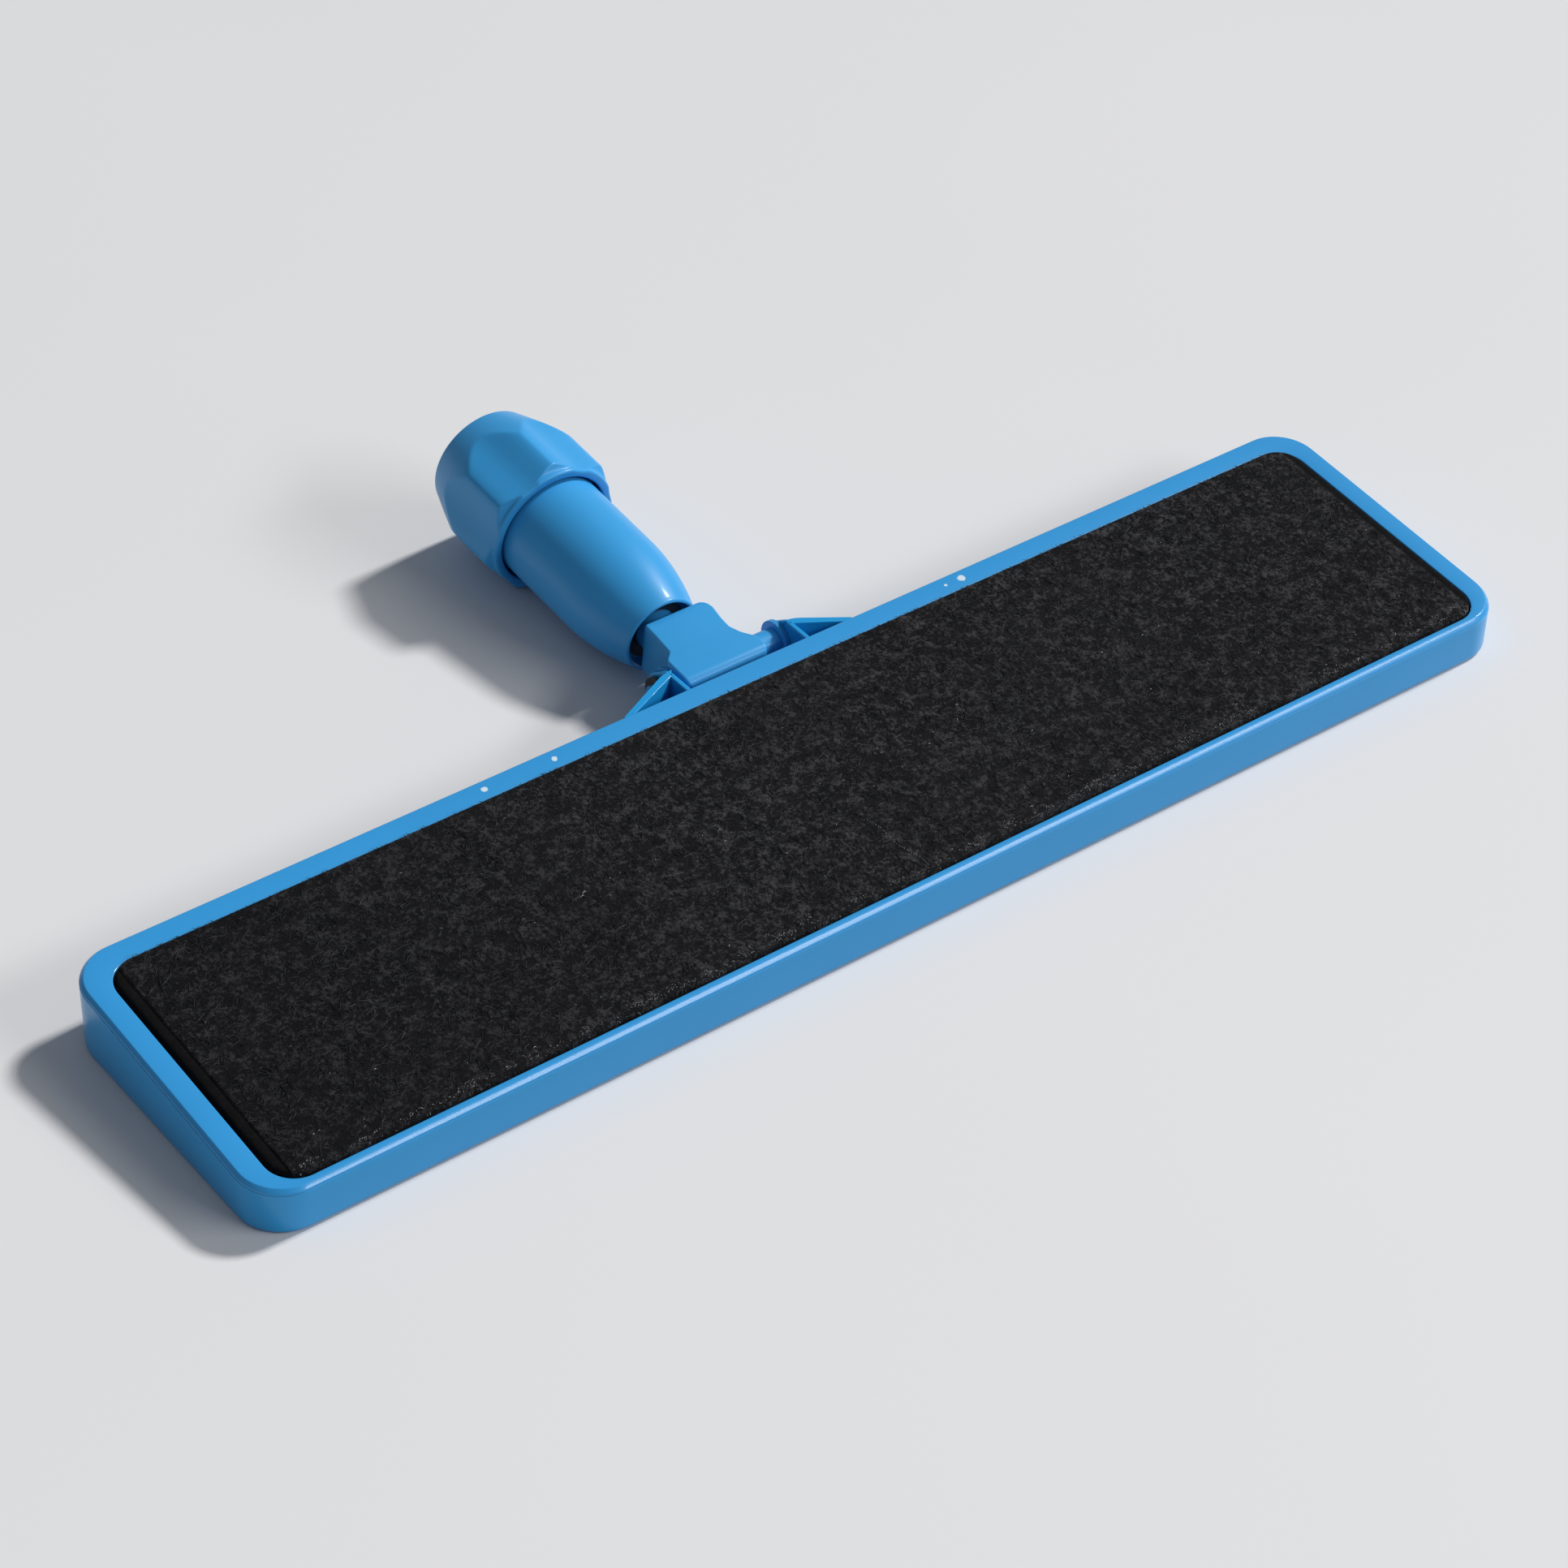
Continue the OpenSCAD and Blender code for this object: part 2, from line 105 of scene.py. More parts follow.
class Finish:
    """A material that is put together node by node."""

    def __init__(self, name):
        self.material = bpy.data.materials.new(name)
        self.material.use_nodes = True
        self.tree = self.material.node_tree
        self.tree.nodes.clear()

    def node(self, kind, settings=None, inputs=None, output=0):
        """Adds a node of a kind, applies its settings, then sets or links its sockets."""
        node = self.tree.nodes.new("ShaderNode" + kind)
        for key, value in (settings or {}).items():
            setattr(node, key, value)
        for key, value in (inputs or {}).items():
            if isinstance(value, Wire):
                self.tree.links.new(value.socket, node.inputs[key])
            elif isinstance(value, tuple) and len(value) == 3 and node.inputs[key].type == "RGBA":
                node.inputs[key].default_value = (*value, 1.0)
            else:
                node.inputs[key].default_value = value
        return Wire(self.tree, node.outputs[output]) if len(node.outputs) else None

    def place(self):
        """Where a point is on the object, in metres."""
        return self.node("TexCoord", output=3)

    def noise(self, size, detail=3.0, rough=0.55, stretch=(1.0, 1.0, 1.0)):
        """Cloudy values from 0 to 1, with lumps of about a size in metres."""
        scaled = self.node("Mapping", inputs={"Vector": self.place(), "Scale": stretch})
        return self.node("TexNoise", inputs={"Vector": scaled, "Scale": 1.0 / size,
                                             "Detail": detail, "Roughness": rough})

    def ramp(self, value, low, high):
        """Runs smoothly from 0 to 1 while the value goes from low to high."""
        return self.node("MapRange", {"interpolation_type": "SMOOTHSTEP"},
                         {"Value": value, "From Min": low, "From Max": high})

    def mix(self, share, first, second):
        """A colour between two colours."""
        node = self.tree.nodes.new("ShaderNodeMix")
        node.data_type = "RGBA"
        for key, value in ((0, share), (6, first), (7, second)):
            if isinstance(value, Wire):
                self.tree.links.new(value.socket, node.inputs[key])
            else:
                node.inputs[key].default_value = (*value, 1.0) if key else value
        return Wire(self.tree, node.outputs[2])

    def bump(self, height, depth, strength=1.0):
        """Turns a height into a surface normal. Depth is in metres."""
        return self.node("Bump", inputs={"Height": height, "Distance": depth,
                                         "Strength": strength})

    def surface(self, **sockets):
        """Ends the material with one Principled shader."""
        named = {key.replace("_", " "): value for key, value in sockets.items()}
        shader = self.node("BsdfPrincipled", inputs=named)
        self.node("OutputMaterial", inputs={"Surface": shader})
        return self.material


bpy.context.scene.view_settings.view_transform = "Standard"
world = bpy.data.worlds.new("sky")
world.use_nodes = True
world.node_tree.nodes["Background"].inputs["Color"].default_value = (0.84, 0.9, 1.0, 1.0)
world.node_tree.nodes["Background"].inputs["Strength"].default_value = 0.215
bpy.context.scene.world = world

key = bpy.data.lights.new("key", "SUN")
key.energy = 2.85
key.angle = math.radians(8.0)
key.color = (1.0, 0.985, 0.965)
key_object = bpy.data.objects.new("key", key)
key_object.rotation_euler = (math.radians(46.0), 0.0, math.radians(90.0))
bpy.context.scene.collection.objects.link(key_object)

strip = bpy.data.lights.new("strip", "AREA")
strip.energy = 60.0
strip.shape = "RECTANGLE"
strip.size = 2.6
strip.size_y = 0.6
strip_object = bpy.data.objects.new("strip", strip)
strip_object.location = (1.93, -2.76, 2.16)
strip_object.rotation_euler = (math.radians(57.4), 0.0, math.radians(35.0))
bpy.context.scene.collection.objects.link(strip_object)

floor_mesh = bpy.data.meshes.new("floor")
floor_half = 6.0
floor_mesh.from_pydata([(-floor_half, -floor_half, 0), (floor_half, -floor_half, 0),
                        (floor_half, floor_half, 0), (-floor_half, floor_half, 0)],
                       [], [(0, 1, 2, 3)])
floor = bpy.data.objects.new("floor", floor_mesh)
bpy.context.scene.collection.objects.link(floor)
paper = Finish("pale_floor")
paper_tone = paper.mix(paper.noise(0.35, 2.0), (0.711, 0.711, 0.716), (0.740, 0.740, 0.743))
floor_mesh.materials.append(paper.surface(Base_Color=paper_tone, Roughness=0.85,
                                          Specular_IOR_Level=0.2))


# ---------------------------------------------------------------- Head shell
# The wedge-shaped body is one injection moulding in blue polypropylene, open underneath.
# Its top is a shallow tray for the pad; the walls stand upright and meet the floor.
head_low, head_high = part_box("bezel_frame")
half_l = head_high.x
front_y = head_low.y
rear_y = head_high.y
head_corner = 0.0145
pad_corner = 0.009
pad_gap = 0.0005
pad_half_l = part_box("scrub_pad")[1].x
sheet_low, sheet_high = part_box("hook_sheet")
pad_half_w = (sheet_high.y - sheet_low.y) / 2 + 0.0001
slope = math.tan(math.radians(5.0))
face_mid = 0.020
bezel_t = 0.0016
tray_depth = 0.008
deck_t = 0.002
wall_t = 0.0024


def face_z(y):
    """Height of the sloping face above the floor at a place across the head."""
    return face_mid + slope * y


def outline(half, y0, y1, radius, inset=0.0, turns=14, runs=10):
    """Points and outward normals round a rounded rectangle, anticlockwise from the lower right.
    Each corner is an arc of turns steps; each side is cut in runs equal steps."""
    r = radius - inset
    corners = [(half - radius, y0 + radius, -90), (half - radius, y1 - radius, 0),
               (-half + radius, y1 - radius, 90), (-half + radius, y0 + radius, 180)]
    points, normals = [], []
    for i, (cx, cy, start) in enumerate(corners):
        angle = np.radians(start + np.linspace(0, 90, turns + 1))
        direction = np.stack([np.cos(angle), np.sin(angle)], 1)
        arc = np.array([cx, cy]) + r * direction
        nx, ny, nstart = corners[(i + 1) % 4]
        first = np.array([nx, ny]) + r * np.array([math.cos(math.radians(nstart)),
                                                   math.sin(math.radians(nstart))])
        share = np.linspace(0, 1, runs + 1)[1:-1, None]
        points += [arc, arc[-1] + share * (first - arc[-1])]
        normals += [direction, np.repeat(direction[-1:], runs - 1, 0)]
    return np.concatenate(points), np.concatenate(normals)


def head_ring(inset, drop=None, z=None):
    """A ring of the head's outline drawn in by inset, a drop below the face or at a height z."""
    flat, _ = outline(half_l, front_y, rear_y, head_corner, inset)
    height = face_z(flat[:, 1]) - drop if z is None else np.full(len(flat), float(z))
    return np.column_stack([flat, height])


def pad_ring(outset, drop):
    """A ring of the pad's outline let out by outset, a drop below the face."""
    flat, _ = outline(pad_half_l, -pad_half_w, pad_half_w, pad_corner, -outset)
    return np.column_stack([flat, face_z(flat[:, 1]) - drop])


def grid_faces(rows, columns, loop_rows=False, loop_columns=True):
    """Quads of a grid of points whose index is row * columns + column."""
    r = np.arange(rows if loop_rows else rows - 1)[:, None]
    c = np.arange(columns if loop_columns else columns - 1)[None, :]
    r1, c1 = (r + 1) % rows, (c + 1) % columns
    quads = np.stack([r * columns + c, r * columns + c1, r1 * columns + c1, r1 * columns + c], -1)
    return quads.reshape(-1, 4).tolist()


def piece(name, points, faces, finish, body, replaces=(), smooth=40.0):
    """Makes a mesh object out of points and faces, and ties it to its body."""
    mesh = bpy.data.meshes.new(name)
    mesh.from_pydata(np.asarray(points, float).reshape(-1, 3).tolist(), [], faces)
    mesh.validate()
    mesh.shade_smooth()
    mesh.set_sharp_from_angle(angle=math.radians(smooth))
    mesh.materials.append(finish)
    made = bpy.data.objects.new(name, mesh)
    bpy.context.scene.collection.objects.link(made)
    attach(made, body)
    if replaces:
        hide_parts(*replaces)
    return made


def arc_steps(count):
    """Sines and cosines of a quarter turn in equal steps."""
    angle = np.linspace(0, math.pi / 2, count + 1)
    return list(zip(np.sin(angle), np.cos(angle)))


def moulded(name, base, shadow, rough=0.38, grain=0.00003, specks=(), coat=0.5):
    """Satin moulded plastic: a faint flow cloudiness, fine tool grain and scuffs in its gloss."""
    f = Finish(name)
    cloud = f.noise(0.05, 3.0, 0.5, (1.0, 1.6, 1.0))
    tone = f.mix(f.ramp(cloud, 0.3, 0.7), shadow, base)
    fine = f.noise(0.0004, 2.0, 0.5)
    waves = f.noise(0.011, 2.0, 0.4)
    for at, size in specks:
        reach = f.node("VectorMath", {"operation": "DISTANCE"}, {0: f.place(), 1: at}, 1)
        ragged = reach + (f.noise(0.0012, 2.0) - 0.5) * (size * 0.9)
        tone = f.mix(1.0 - f.ramp(ragged, size * 0.72, size), tone, (0.62, 0.74, 0.82))
    gloss = rough - 0.05 + 0.1 * f.noise(0.016, 4.0, 0.6)
    normal = f.bump(fine * 0.6 + waves * 2.4, grain, 0.55)
    return f.surface(Base_Color=tone, Roughness=gloss, Normal=normal, Specular_IOR_Level=0.22,
                     Coat_Weight=coat, Coat_Roughness=0.12)


head_blue = moulded("head_blue", (0.012, 0.305, 0.67), (0.011, 0.294, 0.645), coat=0.42)
foot_r = 0.0016
ledge = 0.00014
rings = [head_ring(wall_t, tray_depth + deck_t), head_ring(wall_t, z=0.0)]
rings += [head_ring(foot_r * (1 - s), z=foot_r * (1 - c)) for s, c in arc_steps(5)]
rings += [head_ring(0.0, bezel_t + ledge), head_ring(ledge * 1.4, bezel_t),
          head_ring(ledge * 4, bezel_t), pad_ring(pad_gap, bezel_t),
          pad_ring(pad_gap, tray_depth)]
around = len(rings[0])
shell_faces = grid_faces(len(rings), around)
shell_faces.append(list(range(around))[::-1])
shell_faces.append([(len(rings) - 1) * around + i for i in range(around)])
piece("head_shell", np.concatenate(rings), shell_faces, head_blue, "head",
      ["head_body"])


# ---------------------------------------------------------------- Hinge ears
# Each ear is an upright cheek for the pin, stiffened by a slanting gusset.
# They are moulded with the shell's rear wall, with softly rounded edges.
tilt_joint = next(j for j in frame["joints"] if j["name"] == "head_tilt")
swivel_joint = next(j for j in frame["joints"] if j["name"] == "socket_swivel")
pin_place = np.array(tilt_joint["pos_m"])
washer_low, washer_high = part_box("friction_washers")
cheek_t = 0.0026
cheek_r = 0.0066
cheek_in = [washer_low.x - 0.00005, washer_high.x + 0.00005]
cheek_low = 0.003
ear_top = 0.024
ear_tip_y = pin_place[1] - 0.0025
cheek_inset = 0.0007
gusset_foot = [cheek_in[0] - cheek_t - 0.022, cheek_in[1] + cheek_t + 0.0155]
gusset_t = 0.002
gusset_root = 0.0022
ear_root = 0.0012
tip_round = 0.0018
apex_round = 0.0032
edge_round = 0.0006


def prism(name, flat, low, high, axis, finish, body):
    """A closed outline carried straight along X or Z between two places, with rounded edges.
    The outline is in (Y, Z) for axis 0 and in (X, Y) for axis 2."""
    flat = np.asarray(flat, float)
    count = len(flat)
    ends = [np.insert(flat, axis, at, 1) for at in (low, high)]
    faces = grid_faces(2, count)
    faces += [list(range(count))[::-1], list(range(count, 2 * count))]
    made = piece(name, np.concatenate(ends), faces, finish, body)
    bevel = made.modifiers.new("round", "BEVEL")
    bevel.width = edge_round
    bevel.segments = 3
    bevel.limit_method = "ANGLE"
    bevel.angle_limit = math.radians(28)
    bevel.harden_normals = True


def blunt(corner, before, after, radius, steps):
    """Rounds one corner of an outline with a quadratic curve that starts radius before it."""
    corner, before, after = (np.array(p, float) for p in (corner, before, after))
    a = corner + (before - corner) * radius / np.linalg.norm(before - corner)
    b = corner + (after - corner) * radius / np.linalg.norm(after - corner)
    t = np.linspace(0, 1, steps + 1)[:, None]
    return ((1 - t) ** 2 * a + 2 * t * (1 - t) * corner + t ** 2 * b).tolist()


for side, word in ((-1, "left"), (1, "right")):
    inner = cheek_in[0] if side < 0 else cheek_in[1]
    outer = inner + side * cheek_t
    foot = gusset_foot[0] if side < 0 else gusset_foot[1]
    inside_y = rear_y - ear_root
    bend = np.radians(np.linspace(-95, 30, 12))
    nose = np.stack([pin_place[1] + cheek_r * np.cos(bend),
                     pin_place[2] + cheek_r * np.sin(bend)], 1)
    tip = (ear_tip_y, ear_top)
    cheek = [[inside_y, cheek_low]] + nose.tolist()
    cheek += blunt(tip, nose[-1], (inside_y, ear_top), tip_round, 5) + [[inside_y, ear_top]]
    cheek_out = outer - side * cheek_inset
    prism("hinge_cheek_" + word, cheek, min(inner, cheek_out), max(inner, cheek_out), 0,
          head_blue, "head")
    root = outer - side * gusset_root
    plan = [(foot - side * gusset_t, inside_y), (root, ear_tip_y - gusset_t)]
    plan += [(root, ear_tip_y - 0.0004)]
    plan += blunt((outer, ear_tip_y), (root, ear_tip_y), (foot, rear_y), apex_round, 6)
    plan += [(foot, rear_y), (foot, inside_y)]
    if side < 0:
        plan = plan[::-1]
    prism("hinge_gusset_" + word, plan[::-1], cheek_low, ear_top, 2, head_blue, "head")


# ---------------------------------------------------------------- Bezel frame
# A thin separate frame of the same blue plastic clips over the tray and borders the pad.
# Its outer edge has a softened chamfer, and a fine ledge shows where it sits on the shell.
round_r = 0.0005
chamfer = 0.00085
inner_fillet = 0.0005
diagonal = math.sqrt(0.5)
cut_in = round_r * (1 - diagonal) + chamfer
rings = [head_ring(ledge * 4, bezel_t), head_ring(ledge, bezel_t)]
rings += [head_ring(ledge + round_r * (1 - math.cos(a)),
                    cut_in + round_r * (diagonal - math.sin(a)))
          for a in np.radians(np.linspace(0, 45, 5))]
rings += [head_ring(ledge + cut_in + round_r * (diagonal - math.cos(a)),
                    round_r * (1 - math.sin(a)))
          for a in np.radians(np.linspace(45, 90, 5))]
rings += [pad_ring(pad_gap + inner_fillet * (1 - s), inner_fillet * (1 - c))
          for s, c in arc_steps(4)]
rings += [pad_ring(pad_gap, bezel_t)]
bezel_faces = grid_faces(len(rings), around, loop_rows=True)
speck_y = 0.0511
speck_places = [((x, speck_y, face_z(speck_y)), size) for x, size in
                ((-0.0898, 0.0011), (-0.0651, 0.0011), (0.0889, 0.0014), (0.0827, 0.0006))]
bezel_blue = moulded("bezel_blue", (0.03, 0.30, 0.665), (0.028, 0.289, 0.64),
                     specks=speck_places)
piece("bezel", np.concatenate(rings), bezel_faces, bezel_blue, "head",
      ["bezel_frame"])


# ---------------------------------------------------------------- Felt pad
# The pad is needle-punched black nylon felt, cut from sheet and held by hooks underneath.
# It stands a little above the bezel, with slightly rounded and frayed edges.
proud = 0.0015
pad_sunk = 0.0046
edge_r = 0.0011
end_band = 0.0028
end_fall = 0.0006
nap_sink = 0.00025
rng = np.random.default_rng(11)


def lumps(x, y, size, count, seed):
    """A sum of count sine waves with random directions, each about size long, from -1 to 1."""
    waves = np.random.default_rng(seed)
    total = np.zeros_like(x)
    for _ in range(count):
        turn, phase = waves.uniform(0, 2 * math.pi, 2)
        reach = 2 * math.pi / (size * waves.uniform(0.7, 1.5))
        total += np.sin(reach * (x * math.cos(turn) + y * math.sin(turn)) + phase)
    return total / math.sqrt(count)


def crowd(count, pull):
    """Values from -1 to 1 that crowd towards both ends."""
    t = np.linspace(-1, 1, count)
    return (1 - pull) * t + pull * np.sin(t * math.pi / 2)


def pad_surface(columns, rows):
    """The pad's top: a sheet of columns along the length and rows across, rounded at its rim,
    with its waviness added to the slope. A column is as long as the rounded outline allows."""
    x = pad_half_l * crowd(columns, 0.85)[:, None]
    past = np.clip(np.abs(x) - (pad_half_l - pad_corner), 0, None)
    y_end = pad_half_w - pad_corner + np.sqrt(np.clip(pad_corner ** 2 - past ** 2, 0, None))
    y = y_end * crowd(rows, 0.8)[None, :]
    x = np.repeat(x, rows, 1)
    corner = np.hypot(np.clip(np.abs(x) - (pad_half_l - pad_corner), 0, None),
                      np.clip(np.abs(y) - (pad_half_w - pad_corner), 0, None))
    straight = np.minimum(pad_half_l - np.abs(x), pad_half_w - np.abs(y))
    rim = np.where((np.abs(x) > pad_half_l - pad_corner) & (np.abs(y) > pad_half_w - pad_corner),
                   pad_corner - corner, straight)
    short = np.clip(edge_r - rim, 0, edge_r)
    drop = edge_r - np.sqrt(edge_r ** 2 - short ** 2)
    inside = np.clip(rim / 0.004, 0, 1)
    wave = 0.00010 * lumps(x, y, 0.045, 9, 1) + 0.00007 * lumps(x, y, 0.009, 14, 2)
    wave += 0.00005 * lumps(x, y, 0.0035, 16, 3)
    end = np.clip((np.abs(x) - pad_half_l + end_band) / end_band, 0, 1)
    z = face_z(y) + proud - nap_sink - drop + wave * inside - end_fall * end ** 2
    return np.stack([x, y, z], -1)


columns, rows = 380, 100
top = pad_surface(columns, rows)
index = np.arange(columns * rows).reshape(columns, rows)
border = np.concatenate([index[:, 0], index[-1, 1:], index[-2::-1, -1], index[0, -2:0:-1]])
pad_points = top.reshape(-1, 3)
edge = pad_points[border]
underside = face_z(edge[:, 1]) - pad_sunk
skirt = [np.column_stack([edge[:, :2], edge[:, 2] + share * (underside - edge[:, 2])])
         for share in (0.5, 1.0)]
pad_faces = grid_faces(columns, rows, loop_columns=False)
previous = border
for k in range(len(skirt)):
    current = len(pad_points) + k * len(border) + np.arange(len(border))
    wall = [np.roll(previous, -1), np.roll(current, -1), current, previous]
    pad_faces += np.stack(wall, 1).tolist()
    previous = current
pad_faces.append(previous.tolist())

f = Finish("black_felt")
grit = f.noise(0.0013, 5.0, 0.75)
tuft = f.noise(0.0045, 5.0, 0.7)
patch = f.noise(0.035, 3.0, 0.5)
curl = f.noise(0.0036, 3.0, 0.6)
curl_line = 1.0 - f.ramp(abs(curl - 0.5), 0.004, 0.06)
along = f.node("SeparateXYZ", inputs={0: f.place()})
# Painted shade: the last few millimetres at both ends of the pad are darkened to near black,
# standing for the shaded cut ends.
painted_end_shade = f.ramp(abs(along), pad_half_l - 0.0045, pad_half_l - 0.0031)
dark_end = 1.0 - f.ramp(along, -0.2, -0.02)
bright = f.ramp(curl_line * 0.07 + tuft * 0.62 + grit * 0.66, 0.62, 0.83)
felt_tone = f.mix(bright, (0.0105, 0.0107, 0.0118), (0.066, 0.066, 0.072))
felt_tone = f.mix(f.ramp(patch, 0.35, 0.7) * 0.25, felt_tone, (0.019, 0.0192, 0.021))
felt_tone = f.mix(dark_end * 0.38, felt_tone, (0.0036, 0.0037, 0.0042))
# Painted shade at both ends of the pad.
felt_tone = f.mix(painted_end_shade * 0.92, felt_tone, (0.0035, 0.0035, 0.004))
felt_height = (grit * 1.1 + tuft * 0.9 + curl_line * 0.05) * (1.0 - painted_end_shade * 0.9)
felt = f.surface(Base_Color=felt_tone, Roughness=0.93, Normal=f.bump(felt_height, 0.0011, 1.0),
                 Specular_IOR_Level=0.08)
pad = piece("felt_pad", np.concatenate([pad_points] + skirt), pad_faces, felt, "head",
            ["scrub_pad"], smooth=60.0)


# ---------------------------------------------------------------- Felt fibres
# Loose ends of nylon fibre stand out of the felt's surface and fray over its cut edges.
# Each is a bent three-sided thread; a few are pale lint caught in the pad.
def threads(centre, heading, length, lift, thick, tilt):
    """Three-sided tubes with four rings each. A ring's place runs along the heading and rises
    by lift in a half-wave, from sunk ends; heading turns a little on the way."""
    t = np.linspace(-1, 1, 4)[None, :, None]
    count = len(centre)
    along = np.stack([np.cos(heading), np.sin(heading)], 1)[:, None, :]
    across = np.stack([-np.sin(heading), np.cos(heading)], 1)[:, None, :]
    flat = centre[:, None, :2] + along * t * length[:, None, None] / 2
    flat = flat + across * (t ** 2) * tilt[:, None, None] * length[:, None, None]
    z = centre[:, None, 2:] + lift[:, None, None] * (1 - 1.5 * t ** 2)
    spine = np.concatenate([flat, z], 2)
    turn = np.radians(np.array([90, 210, 330]))
    side = np.concatenate([across, np.zeros((count, 1, 1))], 2)[:, :, None, :]
    up = np.array([0, 0, 1.0])[None, None, None, :]
    ring = side * np.cos(turn)[None, None, :, None] + up * np.sin(turn)[None, None, :, None]
    taper = np.array([0.55, 1.0, 1.0, 0.45])[None, :, None, None]
    points = spine[:, :, None, :] + ring * taper * thick[:, None, None, None]
    quads = np.array(grid_faces(4, 3))
    caps = np.array([[2, 1, 0], [9, 10, 11]])
    step = (np.arange(count) * 12)[:, None, None]
    faces = (quads + step).reshape(-1, 4).tolist() + (caps + step).reshape(-1, 3).tolist()
    return points.reshape(-1, 3), faces


def fibre_piece(name, finish, centre, heading, length, lift, thick, tilt, shade):
    """A mesh of threads whose shade, from 0 dark to 1 pale, is kept with its points."""
    points, faces = threads(centre, heading, length, lift, thick, tilt)
    made = piece(name, points, faces, finish, "head", smooth=80.0)
    attribute = made.data.attributes.new("shade", "FLOAT", "POINT")
    attribute.data.foreach_set("value", np.repeat(shade, 12).astype(np.float32))


def on_pad(x, y):
    """The pad's top at places on it."""
    return np.column_stack([x, y, face_z(y) + proud - 0.0003])


f = Finish("nylon_fibre")
shade = f.node("Attribute", {"attribute_name": "shade"}, output=2)
fibre_tone = f.mix(shade, (0.007, 0.0075, 0.0085), (0.085, 0.087, 0.092))
fibre_tone = f.mix(f.noise(0.004, 2.0) * 0.4, fibre_tone, (0.03, 0.031, 0.034))
nylon = f.surface(Base_Color=fibre_tone, Roughness=0.6, Specular_IOR_Level=0.35)
f = Finish("pale_lint")
lint = f.surface(Base_Color=f.mix(f.noise(0.002, 2.0), (0.30, 0.31, 0.33), (0.62, 0.63, 0.66)),
                 Roughness=0.7, Specular_IOR_Level=0.3)

count = 10500
x = rng.uniform(-1, 1, count) * (pad_half_l - 0.0045)
y = rng.uniform(-1, 1, count) * (pad_half_w - 0.003)
keep = np.hypot(np.maximum(np.abs(x) - pad_half_l + pad_corner, 0),
                np.maximum(np.abs(y) - pad_half_w + pad_corner, 0)) < pad_corner - 0.0035
x, y = x[keep], y[keep]
count = len(x)
fibre_piece("felt_fibres", nylon, on_pad(x, y), rng.uniform(0, math.pi, count),
            rng.gamma(4.0, 0.00065, count) + 0.0008, rng.uniform(0.0001, 0.00042, count),
            rng.uniform(0.00005, 0.00011, count), rng.normal(0, 0.12, count),
            rng.beta(1.2, 4.0, count))

count = 1500
place = rng.uniform(0, 1, count)
rim_flat, rim_normal = outline(pad_half_l, -pad_half_w, pad_half_w, pad_corner, runs=60)
step = np.concatenate([[0], np.cumsum(np.linalg.norm(np.diff(rim_flat, axis=0), axis=1))])
place = place * step[-1]
rim = [np.interp(place, step, row) for row in (*rim_flat.T, *rim_normal.T)]
keep = np.abs(rim[2]) < 0.4
x, y, out_x, out_y = (row[keep] for row in rim)
count = len(x)
sunk = rng.uniform(0.0001, 0.0008, count)
centre = np.column_stack([x - out_x * sunk, y - out_y * sunk,
                          face_z(y) + proud - rng.uniform(0.0004, 0.0012, count)])
fibre_piece("frayed_edge", nylon, centre, rng.uniform(0, math.pi, count),
            rng.uniform(0.0008, 0.0024, count), rng.uniform(0.0, 0.0003, count),
            rng.uniform(0.00005, 0.0001, count), rng.normal(0, 0.15, count),
            rng.beta(1.5, 2.0, count))

count = 130
x = rng.uniform(-1, 1, count) * (pad_half_l - 0.004)
y = rng.uniform(-1, 1, count) ** 3 * (pad_half_w - 0.002)
y[: count // 2] = -pad_half_w + rng.exponential(0.004, count // 2) + 0.0015
fibre_piece("lint", lint, on_pad(x, y), rng.uniform(0, math.pi, count),
            rng.uniform(0.0004, 0.0016, count), rng.uniform(0.0002, 0.00042, count),
            rng.uniform(0.00005, 0.00009, count), rng.normal(0, 0.2, count),
            np.ones(count))

f = Finish("scuffed_fibre")
scuffed = f.surface(Base_Color=f.mix(f.noise(0.002, 2.0), (0.16, 0.163, 0.17), (0.42, 0.43, 0.45)),
                    Roughness=0.7, Specular_IOR_Level=0.3)
tufts, each = 360, 6
middle = rng.uniform(-1, 1, tufts) * (pad_half_l - 0.006)
count = tufts * each
x = np.repeat(middle, each) + rng.normal(0, 0.0013, count)
edge = np.repeat(rng.exponential(0.0007, tufts), each) + np.abs(rng.normal(0, 0.0005, count))
y = 0.0001 - pad_half_w + edge
low = np.column_stack([np.zeros(count), np.zeros(count), 0.0011 * np.exp(-edge / 0.0008)])
fibre_piece("scuffed_front", scuffed, on_pad(x, y) - low, rng.uniform(0, math.pi, count),
            rng.uniform(0.0003, 0.0010, count), rng.uniform(0.0002, 0.0005, count),
            rng.uniform(0.00004, 0.0001, count), rng.normal(0, 0.25, count), np.ones(count))

count = 26
share = np.linspace(0, 1, count)
x = -0.0035 + share * 0.0034 + 0.0006 * np.sin(share * 9)
y = -0.0200 - share * 0.0240 + rng.normal(0, 0.00015, count)
fibre_piece("stray_thread", scuffed, on_pad(x, y), rng.normal(-1.42, 0.1, count),
            rng.uniform(0.0005, 0.0012, count), rng.uniform(0.0003, 0.0004, count),
            rng.uniform(0.00007, 0.00011, count), rng.normal(0, 0.15, count), np.ones(count))


# ---------------------------------------------------------------- Swivel block
# The T-shaped block is a solid blue moulding. Its crossbar turns on the hinge pin, and
# its square body carries the round shank that the barrel swivels on.
axis_y = np.array(swivel_joint["axis"])
axis_x = np.array([1.0, 0.0, 0.0])
axis_z = np.cross(axis_x, axis_y)
pole_x = swivel_joint["pos_m"][0]
pole_base = np.array([pole_x, pin_place[1], pin_place[2]])


def on_pole(x, s, h):
    """Points given across, along and above the pole axis, measured from the hinge pin."""
    return pole_base + x[..., None] * axis_x + s[..., None] * axis_y + h[..., None] * axis_z


